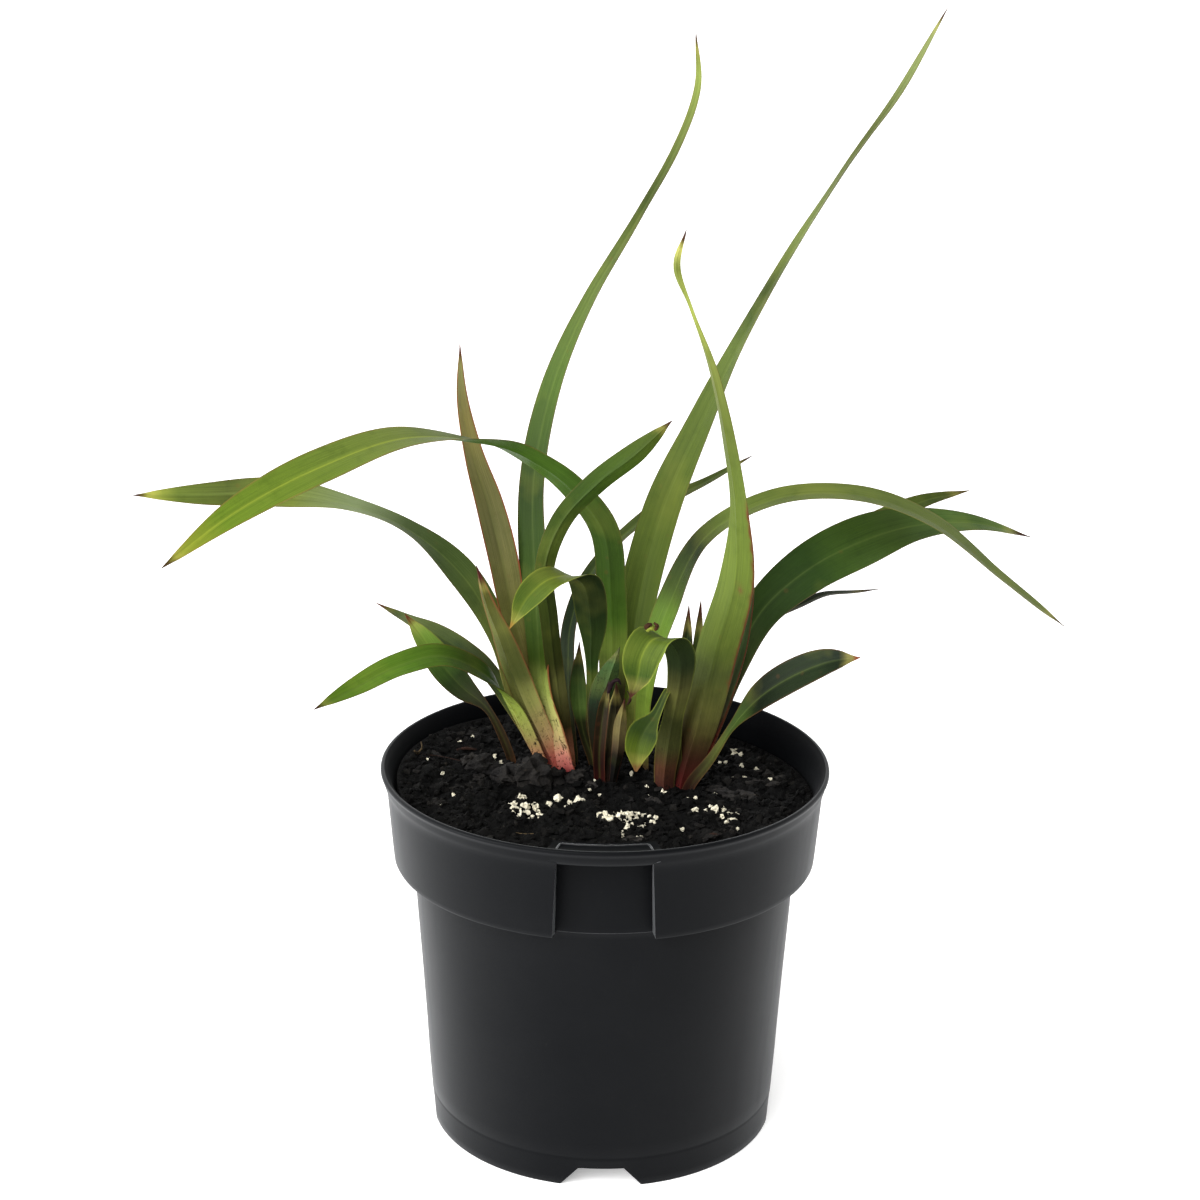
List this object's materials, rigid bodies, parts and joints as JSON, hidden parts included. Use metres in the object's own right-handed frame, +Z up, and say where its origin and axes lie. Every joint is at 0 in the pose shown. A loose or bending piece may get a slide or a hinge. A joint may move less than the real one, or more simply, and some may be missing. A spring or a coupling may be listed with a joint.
{
  "type": "potted flax lily",
  "caption": "Clump-forming strap-leaved plant in a round dark nursery pot filled with potting mix; arching and upright leaves with dark tips.",
  "frame": {"origin": "centre of the pot on its axis, at the plane that the foot stands on", "axes": "+Z up the axis of the pot, -Y towards the front with the recessed panel, +X to the right seen from the front"},
  "size_m": [0.3074, 0.1788, 0.3673],
  "materials": {
    "pot_plastic": "satin",
    "potting_mix": "matt, loose peat and bark",
    "perlite": "matt, porous",
    "leaf": "satin, finely veined"
  },
  "bodies": {
    "root": {"pot": "pot_plastic", "potting_mix": "potting_mix", "perlite_front_left": "perlite", "perlite_front_middle": "perlite", "perlite_front_right": "perlite", "perlite_back_left": "perlite", "shoot_left": "leaf", "shoot_left_small": "leaf", "shoot_middle": "leaf", "shoot_bud": "leaf", "shoot_back": "leaf", "shoot_arching": "leaf", "shoot_right": "leaf"}
  },
  "joints": []
}
